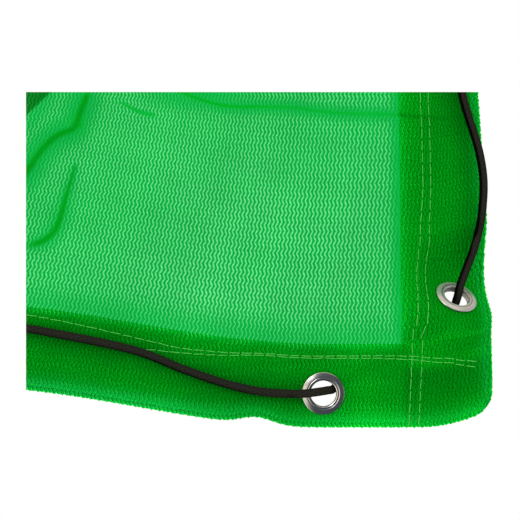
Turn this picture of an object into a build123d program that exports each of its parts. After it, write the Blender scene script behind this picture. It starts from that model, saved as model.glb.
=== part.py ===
from build123d import *
import os

# Rectangular mesh fly sheet, hanging upright. All sizes in millimetres.
# X runs along the long edges, Z is up, the face side looks towards -Y.
# The origin is the middle of the bottom edge, on the face of the mesh.

# Sheet
sheet_width = 1500.0
sheet_height = 1000.0
ply_thickness = 0.8
ply_gap = 0.05
corner_radius = 12.0
long_scallop = 24.0            # how far the long edges pull in between two eyelets
side_scallop = 11.0            # the same on the short sides
fold_gap = 0.1                 # the halves meet here, on the storage fold line

# Hems
side_hem_width = 53.0
long_hem_width = 49.0
hem_step = 3.0                 # the long hem climbs over the side hem in this length

# Stitching
thread_width = 0.4
thread_gap = 0.05
side_rows = (37.0, 42.0)       # distances of the two rows from the cloth edge
long_rows = (40.0, 43.5)

# Eyelets
eyelet_inset = 20.0            # centre to cloth edge
long_eyelet_corner = 99.0      # first eyelet on a long edge to the corner
side_eyelet_corner = 76.0      # first eyelet on a side to the corner
eyelet_bore_radius = 7.5
eyelet_barrel_radius = 8.1
eyelet_outer_radius = 12.5
flange_rim_radius = 11.8       # inside this radius the flange rises in a shallow cone
flange_rim_height = 0.6
flange_crown_radius = 9.8      # the top of the cone
flange_crown_height = 1.2
flange_cone_bulge = 0.05
groove_radius = 9.2            # the groove between the cone and the bead
groove_height = 1.02
bead_radius = 8.5              # the bead round the bore
bead_height = 1.15
rim_curl_radius = 9.3
rim_curl_height = 0.6
washer_thickness = 0.7
metal_gap = 0.1
cloth_hole_radius = 8.3

# Shock cord
cord_radius = 2.5
core_radius = 1.7
cover_inner_radius = 1.8
cord_end_gap = 0.2
front_cord_depth = -5.0        # cord centreline in front of the cloth face
back_cord_depth = 6.8          # cord centreline behind the cloth face
lead_out = 14.5                # eyelet centre to the point where a span starts
bend_reach = 12.5              # eyelet centre to the point where the cord is level behind
hole_depth = 0.8               # cord centreline in the middle of an eyelet
cord_joint_gap = 0.6           # between the two cut ends, inside the ferrule
long_span_sag = 40.0           # how far a loose span lies in from its eyelets
side_span_sag = 18.0
loose_span_swell = 14.5        # the lowest span on the right swells outwards,
loose_span_return = 3.5        # comes back towards its eyelets' line
loose_span_rest = 1.5          # and runs almost straight to the upper one

# Ferrule that joins the two ends of the cord
ferrule_length = 18.0
ferrule_radius = 4.0
ferrule_bore_radius = 2.7
ferrule_lip = 0.8

# Derived places
half_width = sheet_width / 2
ply_pitch = ply_thickness + ply_gap
hem_back = ply_thickness + ply_pitch
washer_front = hem_back + metal_gap
curl_front = washer_front + washer_thickness + metal_gap
outer_eyelet_x = half_width - long_eyelet_corner
inner_eyelet_x = outer_eyelet_x / 3
long_eyelet_xs = (inner_eyelet_x, outer_eyelet_x)
side_eyelet_step = (sheet_height - 2 * side_eyelet_corner) / 3
side_eyelet_zs = [side_eyelet_corner + side_eyelet_step * i for i in range(4)]
side_eyelet_x = half_width - eyelet_inset
bottom_eyelet_z = eyelet_inset
top_eyelet_z = sheet_height - eyelet_inset

os.makedirs("parts", exist_ok=True)


def save(builder, name):
    builder.part.label = name
    export_step(builder.part, f"parts/{name}.step")


def cloth_plane(depth):
    """Plane of the cloth, seen from the face side, at this depth behind the face."""
    return Plane.XZ.offset(-depth)


# ---- edge lines: the cloth edge, and any line sewn or cut parallel to it ----

def long_line(inset, top):
    """Half of a long edge from the fold line outwards, moved in by inset."""
    def z_at(distance):
        return sheet_height - distance if top else distance

    points = [(fold_gap / 2, z_at(inset + long_scallop))]
    points.append((inner_eyelet_x, z_at(inset)))
    points.append(((inner_eyelet_x + outer_eyelet_x) / 2, z_at(inset + long_scallop)))
    points.append((outer_eyelet_x, z_at(inset)))
    return Spline(*points, tangents=[(1, 0), (1, 0)])


def side_line(inset):
    """The side edge between its lowest and highest eyelet, moved in by inset."""
    points = [(half_width - inset, side_eyelet_zs[0])]
    for lower, upper in zip(side_eyelet_zs, side_eyelet_zs[1:]):
        points.append((half_width - inset - side_scallop, (lower + upper) / 2))
        points.append((half_width - inset, upper))
    return Spline(*points, tangents=[(0, 1), (0, 1)])


def half_outline():
    """Outline of the right half of the cloth, with its rounded corners."""
    with BuildSketch() as outline:
        with BuildLine():
            bottom = long_line(0, top=False)
            side = side_line(0)
            top = long_line(0, top=True)
            low = Line(bottom @ 1, (half_width - corner_radius, 0))
            turn = (half_width, corner_radius)
            low_corner = TangentArc(low @ 1, turn, tangent=(1, 0))
            Line(low_corner @ 1, side @ 0)
            high = Line(side @ 1, (half_width, sheet_height - corner_radius))
            turn = (half_width - corner_radius, sheet_height)
            high_corner = TangentArc(high @ 1, turn, tangent=(0, 1))
            Line(high_corner @ 1, top @ 1)
            Line(top @ 0, bottom @ 0)
        make_face()
    return outline.sketch


def inside_side_line(inset):
    """Everything on the fold side of a line along the side edge."""
    with BuildSketch() as area:
        with BuildLine():
            edge = side_line(inset)
            foot = Line(edge @ 0, (half_width - inset, -inset))
            head = Line(edge @ 1, (half_width - inset, sheet_height + inset))
            Polyline(foot @ 1, (-inset, -inset), (-inset, sheet_height + inset), head @ 1)
        make_face()
    return area.sketch


def inside_long_line(inset, top):
    """Everything on the far side of a line along one long edge."""
    far = -inset if top else sheet_height + inset
    with BuildSketch() as area:
        with BuildLine():
            edge = long_line(inset, top)
            reach = Line(edge @ 1, (sheet_width, (edge @ 1).Y))
            Polyline(reach @ 1, (sheet_width, far), ((edge @ 0).X, far), edge @ 0)
        make_face()
    return area.sketch


def right_holes():
    """Places of the eyelets in the right half, as (x, z) pairs."""
    long_places = [(x, z) for x in long_eyelet_xs for z in (bottom_eyelet_z, top_eyelet_z)]
    return long_places + [(side_eyelet_x, z) for z in side_eyelet_zs]


outline_right = half_outline()


# ---- cloth: the mesh ply and its turned-back hems ----

def mesh_panel():
    with BuildPart() as panel:
        with BuildSketch(cloth_plane(ply_thickness)):
            add(outline_right)
            with Locations(*right_holes()):
                Circle(cloth_hole_radius, mode=Mode.SUBTRACT)
        extrude(amount=ply_thickness)
    return panel


def side_hem():
    with BuildPart() as hem:
        with BuildSketch(cloth_plane(hem_back)):
            add(outline_right)
            add(inside_side_line(side_hem_width), mode=Mode.SUBTRACT)
            with Locations(*right_holes()):
                Circle(cloth_hole_radius, mode=Mode.SUBTRACT)
        extrude(amount=ply_thickness)
    return hem


def long_hem(top):
    """One ply along the edge, two plies where it lies over the side hem."""
    corner_front = hem_back + ply_gap
    corner_back = corner_front + 2 * ply_thickness
    step_x = half_width - side_hem_width - ply_gap
    with BuildPart() as hem:
        with BuildSketch(cloth_plane(hem_back)):
            add(outline_right)
            add(inside_long_line(long_hem_width, top), mode=Mode.SUBTRACT)
            with Locations((step_x, 0)):
                Rectangle(sheet_width, 3 * sheet_height, align=(Align.MIN, Align.CENTER),
                          mode=Mode.SUBTRACT)
            with Locations(*right_holes()):
                Circle(cloth_hole_radius, mode=Mode.SUBTRACT)
        extrude(amount=ply_thickness)
        with BuildSketch(cloth_plane(corner_back)):
            add(outline_right)
            add(inside_long_line(long_hem_width, top), mode=Mode.SUBTRACT)
            with Locations((step_x - hem_step, 0)):
                Rectangle(sheet_width, 3 * sheet_height, align=(Align.MAX, Align.CENTER),
                          mode=Mode.SUBTRACT)
        extrude(amount=corner_back - corner_front)
        with BuildSketch(cloth_plane(corner_back)):
            add(outline_right)
            add(inside_long_line(long_hem_width, top), mode=Mode.SUBTRACT)
            with Locations((step_x - hem_step, 0)):
                Rectangle(sheet_width, 3 * sheet_height, align=(Align.MAX, Align.CENTER),
                          mode=Mode.SUBTRACT)
            with Locations((step_x, 0)):
                Rectangle(sheet_width, 3 * sheet_height, align=(Align.MIN, Align.CENTER),
                          mode=Mode.SUBTRACT)
        extrude(amount=corner_back - ply_pitch)
    return hem


def sewn_rows(bands, depth):
    """Rows of thread, each the strip of the cloth between two line areas."""
    with BuildPart() as stitching:
        with BuildSketch(cloth_plane(depth)):
            for wide, narrow in bands:
                with BuildSketch(mode=Mode.PRIVATE) as row:
                    add(outline_right)
                    add(wide, mode=Mode.INTERSECT)
                    add(narrow, mode=Mode.SUBTRACT)
                add(row.sketch)
        extrude(amount=thread_width)
    return stitching


def side_stitching():
    """Two rows along the side hem, from the bottom edge to the top edge."""
    bands = [(inside_side_line(row), inside_side_line(row + thread_width)) for row in side_rows]
    return sewn_rows(bands, -thread_gap)


def long_stitching(top):
    """Two rows along a long hem, lying over the side rows at the corner."""
    bands = []
    for row in long_rows:
        bands.append((inside_long_line(row, top), inside_long_line(row + thread_width, top)))
    return sewn_rows(bands, -2 * thread_gap - thread_width)


# ---- eyelets: a grommet from the face side, a washer behind ----

with BuildSketch(Plane.XY) as grommet_profile:
    with BuildLine():
        flange_edge = (eyelet_outer_radius, -metal_gap)
        rim_turn = (0.65 * eyelet_outer_radius + 0.35 * flange_rim_radius, -0.7 * flange_rim_height)
        flange_rim = (flange_rim_radius, -flange_rim_height)
        cone_middle = ((flange_rim_radius + flange_crown_radius) / 2,
                       -(flange_rim_height + flange_crown_height) / 2 - flange_cone_bulge)
        crown_top = (flange_crown_radius, -flange_crown_height)
        groove = (groove_radius, -groove_height)
        bead_top = (bead_radius, -bead_height)
        bore_front = (eyelet_bore_radius, metal_gap)
        bore_back = (eyelet_bore_radius, curl_front)
        curl_top = ((rim_curl_radius + eyelet_bore_radius) / 2, curl_front + rim_curl_height)
        curl_edge = (rim_curl_radius, curl_front)
        ThreePointArc(flange_edge, rim_turn, flange_rim)
        ThreePointArc(flange_rim, cone_middle, crown_top)
        Line(crown_top, groove)
        ThreePointArc(groove, bead_top, bore_front)
        Line(bore_front, bore_back)
        ThreePointArc(bore_back, curl_top, curl_edge)
        Polyline(curl_edge, (eyelet_barrel_radius, curl_front),
                 (eyelet_barrel_radius, -metal_gap), flange_edge)
    make_face()

with BuildPart() as grommet_master:
    add(grommet_profile.sketch)
    revolve(axis=Axis.Y)

with BuildPart() as washer_master:
    with BuildSketch(cloth_plane(washer_front + washer_thickness)):
        Circle(eyelet_outer_radius)
        Circle(cloth_hole_radius, mode=Mode.SUBTRACT)
    extrude(amount=washer_thickness)


def eyelet_row(master, places):
    """Copies of one ring, centred on each (x, z) place."""
    with BuildPart() as row:
        for x, z in places:
            add(Pos(x, 0, z) * master.part)
    return row


# ---- shock cord ----

def flat(place, depth=0.0):
    """A point given as (x, z) on the sheet, at a depth behind the face."""
    return Vector(place[0], depth, place[1])


def dive_points(eyelet, into, heading):
    """Front point, middle and back point of the cord's way through one eyelet."""
    centre = flat(eyelet)
    return (centre - into * (lead_out - cord_end_gap / 2) + flat((0, 0), front_cord_depth),
            centre + flat((0, 0), hole_depth),
            centre + heading * bend_reach + flat((0, 0), back_cord_depth))


def under_path(first, into, last, out):
    """Centreline that dives through the first eyelet, runs behind the cloth
    and comes out to the front through the last one."""
    heading = (flat(last) - flat(first)).normalized()
    with BuildLine() as line:
        dive = Spline(*dive_points(first, into, heading), tangents=[into, heading])
        climb = dive_points(last, out * -1, heading * -1)
        rise = Spline(*reversed(climb), tangents=[heading, out])
        Line(dive @ 1, rise @ 0)
    return line


def fold_path(eyelet, into):
    """Centreline that dives through an eyelet and ends at the fold line."""
    with BuildLine() as line:
        dive = Spline(*dive_points(eyelet, into, into), tangents=[into, into])
        Line(dive @ 1, Vector(fold_gap / 2, back_cord_depth, eyelet[1]))
    return line


def over_path(foot_eyelet, head_eyelet, aside, humps):
    """Centreline of a span lying on the face side. Each hump is a share of the
    span's length and the sideways offset of the cord there."""
    along = (flat(head_eyelet) - flat(foot_eyelet)).normalized()
    distance = (flat(head_eyelet) - flat(foot_eyelet)).length
    lead = lead_out + cord_end_gap / 2
    foot = flat(foot_eyelet, front_cord_depth) + along * lead
    reach = distance - 2 * lead
    points = [foot]
    points += [foot + along * (reach * share) + aside * offset for share, offset in humps]
    points.append(foot + along * reach)
    with BuildLine() as line:
        Spline(*points, tangents=[along, along])
    return line


def cord_set(lines, outer, inner):
    """Cord pieces of one kind along several centrelines."""
    with BuildPart() as pieces:
        for line in lines:
            path = Wire(line.edges())
            with BuildSketch(Plane(origin=path @ 0, z_dir=path % 0)):
                Circle(outer)
                if inner > 0:
                    Circle(inner, mode=Mode.SUBTRACT)
            sweep(path=path)
    return pieces


right = Vector(1, 0, 0)
left = Vector(-1, 0, 0)
up = Vector(0, 0, 1)
down = Vector(0, 0, -1)
bottom_outer = (outer_eyelet_x, bottom_eyelet_z)
bottom_inner = (inner_eyelet_x, bottom_eyelet_z)
top_outer = (outer_eyelet_x, top_eyelet_z)
top_inner = (inner_eyelet_x, top_eyelet_z)
sides = [(side_eyelet_x, z) for z in side_eyelet_zs]


def mirrored(place):
    return (-place[0], place[1])


under_lines = [
    under_path(bottom_outer, right, sides[0], up),
    under_path(sides[1], up, sides[2], up),
    under_path(sides[3], up, top_outer, left),
    fold_path(bottom_inner, left),
    fold_path(top_inner, left),
]
# Humps as (share of the span's length, sideways offset there)
long_hump = ((0.25, 0.6 * long_span_sag), (0.5, long_span_sag), (0.75, 0.6 * long_span_sag))
loose_hump = ((0.2, loose_span_swell), (0.45, loose_span_return), (0.7, loose_span_rest))
side_hump = ((0.3, 0.7 * side_span_sag), (0.6, side_span_sag))
over_lines = {
    "bottom_right": over_path(bottom_inner, bottom_outer, up, long_hump),
    "bottom_left": over_path(mirrored(bottom_outer), mirrored(bottom_inner), up, long_hump),
    "top_right": over_path(top_inner, top_outer, down, long_hump),
    "top_left": over_path(mirrored(top_outer), mirrored(top_inner), down, long_hump),
    "right_lower": over_path(sides[0], sides[1], right, loose_hump),
    "right_upper": over_path(sides[2], sides[3], left, side_hump),
    "left_lower": over_path(mirrored(sides[0]), mirrored(sides[1]), right, side_hump),
    "left_upper": over_path(mirrored(sides[2]), mirrored(sides[3]), right, side_hump),
}


# ---- the right half ----

panel_right = mesh_panel()
side_hem_right = side_hem()
bottom_hem_right = long_hem(top=False)
top_hem_right = long_hem(top=True)
stitching_side_right = side_stitching()
stitching_bottom_right = long_stitching(top=False)
stitching_top_right = long_stitching(top=True)
cord_cover_right = cord_set(under_lines, cord_radius, cover_inner_radius)
cord_core_right = cord_set(under_lines, core_radius, 0)

right_half = {
    "panel": panel_right,
    "side_hem": side_hem_right,
    "bottom_hem": bottom_hem_right,
    "top_hem": top_hem_right,
    "stitching_side": stitching_side_right,
    "stitching_bottom": stitching_bottom_right,
    "stitching_top": stitching_top_right,
    "grommet_low": eyelet_row(grommet_master, sides[:1]),
    "grommets_side": eyelet_row(grommet_master, sides[1:]),
    "grommets_bottom": eyelet_row(grommet_master, [bottom_inner, bottom_outer]),
    "grommets_top": eyelet_row(grommet_master, [top_inner, top_outer]),
    "washer_low": eyelet_row(washer_master, sides[:1]),
    "washers_side": eyelet_row(washer_master, sides[1:]),
    "washers_bottom": eyelet_row(washer_master, [bottom_inner, bottom_outer]),
    "washers_top": eyelet_row(washer_master, [top_inner, top_outer]),
    "cord_cover": cord_cover_right,
    "cord_core": cord_core_right,
}

for name, half in right_half.items():
    save(half, f"{name}_right")

# ---- the left half, a mirror image; its cord is cut where the ferrule joins it ----

ferrule_place = Pos(-side_eyelet_x, back_cord_depth, sheet_height / 2)

for name, half in right_half.items():
    with BuildPart() as left_piece:
        mirror(half.part, about=Plane.YZ)
        if name.startswith("cord"):
            with Locations(ferrule_place):
                Box(4 * cord_radius, 4 * cord_radius, cord_joint_gap, mode=Mode.SUBTRACT)
    save(left_piece, f"{name}_left")

# ---- the eight spans in front of the cloth ----

for name, line in over_lines.items():
    save(cord_set([line], cord_radius, cover_inner_radius), f"span_cover_{name}")
    save(cord_set([line], core_radius, 0), f"span_core_{name}")

# ---- the ferrule ----

with BuildPart() as ferrule:
    with Locations(ferrule_place):
        Cylinder(ferrule_radius, ferrule_length)
        Cylinder(ferrule_bore_radius, ferrule_length, mode=Mode.SUBTRACT)
    rims = ferrule.edges().filter_by(GeomType.CIRCLE)
    chamfer(rims, ferrule_lip / 2)
save(ferrule, "ferrule")
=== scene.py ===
import math
import random

import bpy
import numpy as np
from mathutils import Matrix, Vector


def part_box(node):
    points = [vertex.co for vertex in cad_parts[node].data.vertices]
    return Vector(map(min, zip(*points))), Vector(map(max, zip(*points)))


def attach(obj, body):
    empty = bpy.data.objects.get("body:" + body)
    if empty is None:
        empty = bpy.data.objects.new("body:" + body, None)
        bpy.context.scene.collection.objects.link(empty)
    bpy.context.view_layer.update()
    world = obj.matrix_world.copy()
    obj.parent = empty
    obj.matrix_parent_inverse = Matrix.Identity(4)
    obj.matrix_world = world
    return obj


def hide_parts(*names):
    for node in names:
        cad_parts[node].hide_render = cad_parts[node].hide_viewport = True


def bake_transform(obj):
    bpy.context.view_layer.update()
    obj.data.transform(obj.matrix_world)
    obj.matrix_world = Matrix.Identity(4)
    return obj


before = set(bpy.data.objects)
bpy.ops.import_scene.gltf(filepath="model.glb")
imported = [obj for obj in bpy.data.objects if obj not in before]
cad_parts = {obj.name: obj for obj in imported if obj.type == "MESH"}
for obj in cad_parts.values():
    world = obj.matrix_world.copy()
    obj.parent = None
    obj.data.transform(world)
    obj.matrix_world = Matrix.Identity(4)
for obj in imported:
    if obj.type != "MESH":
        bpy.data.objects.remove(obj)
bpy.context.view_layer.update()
random.seed(7)

# ---------------------------------------------------------------- sizes, in millimetres

MM = 0.001


def node_box(node):
    low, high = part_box(node)
    return np.array(low) / MM, np.array(high) / MM


panel_low, panel_high = node_box("panel_right")
bottom_low, bottom_high = node_box("grommets_bottom_right")
side_low, side_high = node_box("grommet_low_right")
upper_low, upper_high = node_box("grommets_side_right")

HALF_WIDTH = panel_high[0]
HEIGHT = panel_high[2]
EYELET_RADIUS = (side_high[0] - side_low[0]) / 2
EYELET_INSET = HALF_WIDTH - (side_high[0] + side_low[0]) / 2
OUTER_X = bottom_high[0] - EYELET_RADIUS
INNER_X = bottom_low[0] + EYELET_RADIUS
LOW_Z = (side_high[2] + side_low[2]) / 2
HIGH_Z = upper_high[2] - EYELET_RADIUS
SIDE_STEP = (HIGH_Z - LOW_Z) / 3
SIDE_ZS = [LOW_Z + SIDE_STEP * i for i in range(4)]
SIDE_X = HALF_WIDTH - EYELET_INSET
BOTTOM_Z = EYELET_INSET
TOP_Z = HEIGHT - EYELET_INSET

PLY = 0.85                     # from one ply's middle to the next
FACE = 0.4                     # the front ply's middle, behind the face
LONG_SCALLOP = 24.0            # how far the edges pull in between eyelets
SIDE_SCALLOP = 11.0
SIDE_HEM = 53.0
LONG_HEM = 49.0
FOLD_RADIUS = 2.2              # the rounded outer fold of a hem
FOLD_PUFF = 1.5                # how far each ply stands off beside the fold
HOLE_RADIUS = 9.0              # of the hole in the cloth, hidden under the eyelet
HELD_RADIUS = 13.0             # the cloth is held flat this far round an eyelet
CORD_RADIUS = 2.5
KNIT_PITCH = 2.37              # from one line of gaps to the next
KNIT_PERIOD = 5.2              # one zigzag of a line of gaps
KNIT_SWING = 0.62              # how far the zigzag goes to each side

EYELETS = [(s * x, z) for s in (1, -1) for x in (INNER_X, OUTER_X) for z in (BOTTOM_Z, TOP_Z)]
EYELETS += [(s * SIDE_X, z) for s in (1, -1) for z in SIDE_ZS]

# The lowest eyelet on the right leans back at the top, drawn over by its cord.
LEAN_ANGLE = math.radians(52.0)
LEAN_ACROSS = Vector((0.375, 0.0, 0.927)).normalized()
LEAN_TURN = Matrix.Rotation(LEAN_ANGLE, 3, LEAN_ACROSS.cross(Vector((0, 1, 0))))
LEAN_CENTRE = Vector((SIDE_X - 1.1, 0.4, LOW_Z + 0.3))
LEAN_REACH = 40.0              # the cloth is drawn along this far from the eyelet

# The cord's way over the viewed corner, from the cloth's corner
VIEWED_BOTTOM = [(-317, 62), (-292, 60.5), (-272, 58), (-251, 54.2), (-230, 50.1), (-209, 45.2), (-198, 41.4),
                 (-182.5, 35), (-167, 29.4), (-151, 24.5), (-135, 21.2), (-121, 20.1)]
VIEWED_SIDE = [(-9, 111.2), (-7.1, 121.7), (-6.0, 132), (-5.6, 141), (-6.2, 150), (-8, 160.3), (-10.9, 170.8),
               (-14.4, 181.3), (-18.3, 195.4), (-21.6, 215), (-22.6, 250), (-20.9, 300), (-20, 335)]


# ---------------------------------------------------------------- shape of the cloth

def from_edges(u, v):
    """Distances in from the nearest side edge and from the nearest long edge."""
    return HALF_WIDTH - np.abs(u), np.minimum(v, HEIGHT - v)


def smooth(low, high, value):
    t = np.clip((value - low) / (high - low), 0, 1)
    return t * t * (3 - 2 * t)


def bell(value):
    return np.exp(-value * value)


def edge_fade(distance):
    """How much of an edge's pull is felt this far in from the edge."""
    return 1 - smooth(60, 330, distance)


def long_pull(u):
    wave = 0.5 + 0.5 * np.cos(math.pi * u / INNER_X)
    return np.where(np.abs(u) < OUTER_X, LONG_SCALLOP * wave, 0)


def side_pull(v):
    wave = 0.5 - 0.5 * np.cos(2 * math.pi * (v - LOW_Z) / SIDE_STEP)
    return np.where((v > LOW_Z) & (v < HIGH_Z), SIDE_SCALLOP * wave, 0)


def shift(u, v):
    """Where the pull of the edges takes a point of the flat cloth, as (x, z)."""
    side = HALF_WIDTH - np.abs(u)
    corner = np.clip(43 - side, 0, 43) ** 2 * 0.006
    lift = long_pull(u) + corner
    lift = lift + np.where(u > 0, 4.2 * bell((u - OUTER_X + 39) / 13), 0) * bell(v / 30)
    inward = side_pull(v) + 2.6 * bell((v - LOW_Z - 10) / 36) - 1.8 * bell((v - LOW_Z - 112) / 34)
    inward = inward * (0.25 * edge_fade(side) + 0.75 * (1 - smooth(3, 46, side)))
    x = u - np.sign(u) * inward
    z = v + lift * edge_fade(v) - lift * edge_fade(HEIGHT - v)
    return x, z


def from_corner(points):
    """Places on the flat cloth of points seen at these distances from its lower
    right corner, as (u, v) pairs."""
    x = HALF_WIDTH + np.array([p[0] for p in points], float)
    z = np.array([p[1] for p in points], float)
    u, v = x.copy(), z.copy()
    for _ in range(12):
        sx, sz = shift(u, v)
        u, v = u + 0.8 * (x - sx), v + 0.8 * (z - sz)
    return rounded(list(zip(u, v)))


def rounded(points, times=2):
    """An open line with its corners cut off."""
    for _ in range(times):
        p = np.array(points, float)
        near, far = 0.75 * p[:-1] + 0.25 * p[1:], 0.25 * p[:-1] + 0.75 * p[1:]
        points = np.concatenate([p[:1], np.stack([near, far], 1).reshape(-1, 2)[1:-1], p[-1:]])
    return points


def track(u, v, points):
    """Signed distance to an open crease line, and how far along it, from 0 to 1."""
    best = np.full(np.shape(u), 1e9)
    signed = np.zeros(np.shape(u))
    along = np.zeros(np.shape(u))
    points = [np.array(p, float) for p in points]
    for i, (a, b) in enumerate(zip(points, points[1:])):
        d = b - a
        t = np.clip(((u - a[0]) * d[0] + (v - a[1]) * d[1]) / (d @ d), 0, 1)
        px = u - a[0] - t * d[0]
        pz = v - a[1] - t * d[1]
        distance = np.hypot(px, pz)
        closer = distance < best
        side = np.sign(d[0] * pz - d[1] * px)
        best = np.where(closer, distance, best)
        signed = np.where(closer, side * distance, signed)
        along = np.where(closer, (i + t) / (len(points) - 1), along)
    return signed, along


def crease(u, v, points, height, steep, reach):
    """A sharp step along a line, easing away on both sides and at both ends."""
    d, t = track(u, v, points)
    ends = smooth(-0.02, 0.12, t) * (1 - smooth(0.85, 1.0, t))
    return height * ends * np.tanh(d / steep) * bell(d / reach)


PACKING_CREASE = from_corner([(-196, 203), (-182, 196), (-174, 193), (-166, 190), (-154, 187.5),
                              (-134, 187.4), (-115, 187), (-100, 184.5), (-80, 183.3), (-56, 183.3),
                              (-25, 181), (5, 182)])
LONG_WRINKLE = from_corner([(-234, 206), (-236.8, 195.3), (-240, 188), (-242.5, 180.5), (-244.8, 175),
                            (-249, 173.4), (-254.8, 171.3), (-262, 165), (-268, 157), (-273, 149),
                            (-285, 136), (-300, 124)])
SHORT_WRINKLE = from_corner([(-243, 156), (-244.6, 152), (-247.4, 142.8), (-250, 134), (-252.8, 123),
                             (-257, 113), (-267, 107), (-285, 103)])
NICK = from_corner([(-220, 191), (-216, 189.6), (-209, 185.5), (-200.7, 183), (-194, 182)])
FAR_WRINKLE = from_corner([(-300, 160), (-276, 172), (-262, 190), (-256, 206)])


def drape(u, v):
    """How far the cloth stands behind its flat plane: folds, wrinkles and creases."""
    folds = 3.2 * np.sin(u / 61 + v / 240 + 0.6) * np.sin(v / 170 + 0.9)
    folds += 2.2 * np.sin(u / 37 - v / 95 + 1.9) * np.sin(v / 310 + u / 400)
    folds += 1.1 * np.sin(u / 19 + v / 33) * np.sin(v / 71 - u / 57 + 0.4)
    inner = smooth(45, 160, np.minimum(*from_edges(u, v)))
    y = folds * (0.25 + 0.75 * inner)
    y += crease(u, v, PACKING_CREASE, 1.3, 1.2, 17)
    y += crease(u, v, LONG_WRINKLE, 2.2, 1.6, 16)
    y += crease(u, v, SHORT_WRINKLE, 1.7, 1.4, 14)
    y += crease(u, v, NICK, 0.7, 1.2, 9)
    return y


def by_line(u, v, points, width, taper):
    """Distance from a crease line in its widths, which the taper narrows to a point
    where the line begins, and how strong the line is, which fades at its ends."""
    d, t = track(u, v, points)
    ends = smooth(-0.02, 0.10, t) * (1 - smooth(0.88, 1.0, t))
    return np.abs(d) / width / (1 - taper * (1 - smooth(0, 0.7, t))), ends


def line_mask(u, v, points, width, taper=0.0):
    """A soft band along a crease."""
    distance, ends = by_line(u, v, points, width, taper)
    return ends * bell(distance)


def core(u, v, points, width, taper=0.0):
    """A crisp line along a crease."""
    distance, ends = by_line(u, v, points, width, taper)
    return ends * (1 - smooth(0.2, 1.4, distance))


def gathered(u, v):
    """Where the knit is drawn up along creases and beside hems, so that its gaps close."""
    x, z = shift(u, v)
    dx = x - HALF_WIDTH
    side, end = from_edges(u, v)
    slack = bell(np.hypot(dx + 150, 1.25 * (z - 100)) / 105)
    masks = [
        0.7 * line_mask(u, v, PACKING_CREASE, 5.0),
        0.7 * bell((z - 194) / 9) * bell((dx + 172) / 32),
        0.95 * line_mask(u, v, PACKING_CREASE, 1.6),
        0.75 * line_mask(u, v, LONG_WRINKLE, 10.0),
        line_mask(u, v, LONG_WRINKLE, 3.6),
        0.5 * line_mask(u, v, SHORT_WRINKLE, 7.0, 0.6),
        line_mask(u, v, SHORT_WRINKLE, 2.6, 0.7),
        0.85 * line_mask(u, v, NICK, 1.6, 0.5),
        0.45 * line_mask(u, v, FAR_WRINKLE, 7.0),
        0.85 * bell((side - SIDE_HEM + 1) / 6) * (side > SIDE_HEM - 1),
        0.45 * bell((end - LONG_HEM + 1) / 14) * (end > LONG_HEM - 1),
        0.20 * (1 - slack),
    ]
    return np.clip(np.maximum.reduce(masks), 0, 1)


def tucked(u, v):
    """A patch of a further layer, tucked up behind the mesh."""
    x, z = shift(u, v)
    patch = smooth(-1.5, 1.5, z - 182.4 - 0.95 * (x - HALF_WIDTH + 273)) * smooth(-4, 0, HALF_WIDTH - 242 - x)
    return patch * smooth(-350, -275, x - HALF_WIDTH) * (1 - smooth(205, 265, z))


def thick(u, v):
    """Where the cloth lies over itself: crease cores and one tucked patch."""
    _, along = track(u, v, PACKING_CREASE)
    x, z = shift(u, v)
    return np.maximum.reduce([
        (1 - 0.35 * smooth(0.3, 0.6, along)) * core(u, v, PACKING_CREASE, 1.4),
        core(u, v, LONG_WRINKLE, 2.5),
        0.9 * bell((x - HALF_WIDTH + 243) / 4) * bell((z - 178) / 6),
        core(u, v, SHORT_WRINKLE, 2.3, 0.75),
        0.7 * core(u, v, NICK, 1.0, 0.5),
        0.8 * tucked(u, v),
    ])


def near_eyelet(u, v):
    """Distance to the nearest eyelet centre on the flat cloth."""
    best = np.full(np.shape(u), 1e9)
    for x, z in EYELETS:
        best = np.minimum(best, np.hypot(u - x, v - z))
    return best


def lean(u, v, x, y, z, depth):
    """Draws the cloth round the leaning eyelet onto that eyelet's plane."""
    du = u - SIDE_X
    dv = v - LOW_Z
    local = np.stack([du, depth, dv], -1) @ np.array(LEAN_TURN).T
    share = 1 - smooth(HELD_RADIUS + 0.5, LEAN_REACH, np.hypot(du, dv))
    x = x + share * (LEAN_CENTRE.x + local[..., 0] - x)
    y = y + share * (LEAN_CENTRE.y + local[..., 1] - y)
    z = z + share * (LEAN_CENTRE.z + local[..., 2] - z)
    return x, y, z


def place(u, v, depth):
    """World place, in millimetres, of a flat cloth's point at a depth in its plies."""
    u, v, depth = np.broadcast_arrays(np.asarray(u, float), v, depth)
    x, z = shift(u, v)
    flat = 1 - smooth(HELD_RADIUS, 34, near_eyelet(u, v))
    y = depth + drape(u, v) * (1 - flat)
    return lean(u, v, x, y, z, depth)


def round_corner(u, v, radius=9.0):
    """Moves the points of a square corner onto a rounded one."""
    a, b = from_edges(u, v)
    low = v < HEIGHT / 2
    da = radius - a
    db = radius - b
    r = np.hypot(da, db)
    out = (da > 0) & (db > 0) & (np.maximum(da, db) > 0)
    reach = np.where(out, np.maximum(da, db) / np.maximum(r, 1e-6), 1)
    a = np.where(out, radius - da * reach, a)
    b = np.where(out, radius - db * reach, b)
    return np.sign(u) * (HALF_WIDTH - a), np.where(low, b, HEIGHT - b)


def puff(u, v, distance):
    """Half the extra gap between a hem's plies beside its outer fold."""
    round_edge = np.sqrt(1 - np.clip(1 - distance / FOLD_RADIUS, 0, 1) ** 2)
    away = 1 - smooth(5, 27, distance)
    pressed = smooth(12, 30, near_eyelet(u, v))
    return round_edge, FOLD_PUFF * away * (0.25 + 0.75 * pressed)


# ---------------------------------------------------------------- mesh builders


def dress(piece, material):
    piece.data.materials.clear()
    piece.data.materials.append(material)


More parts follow.
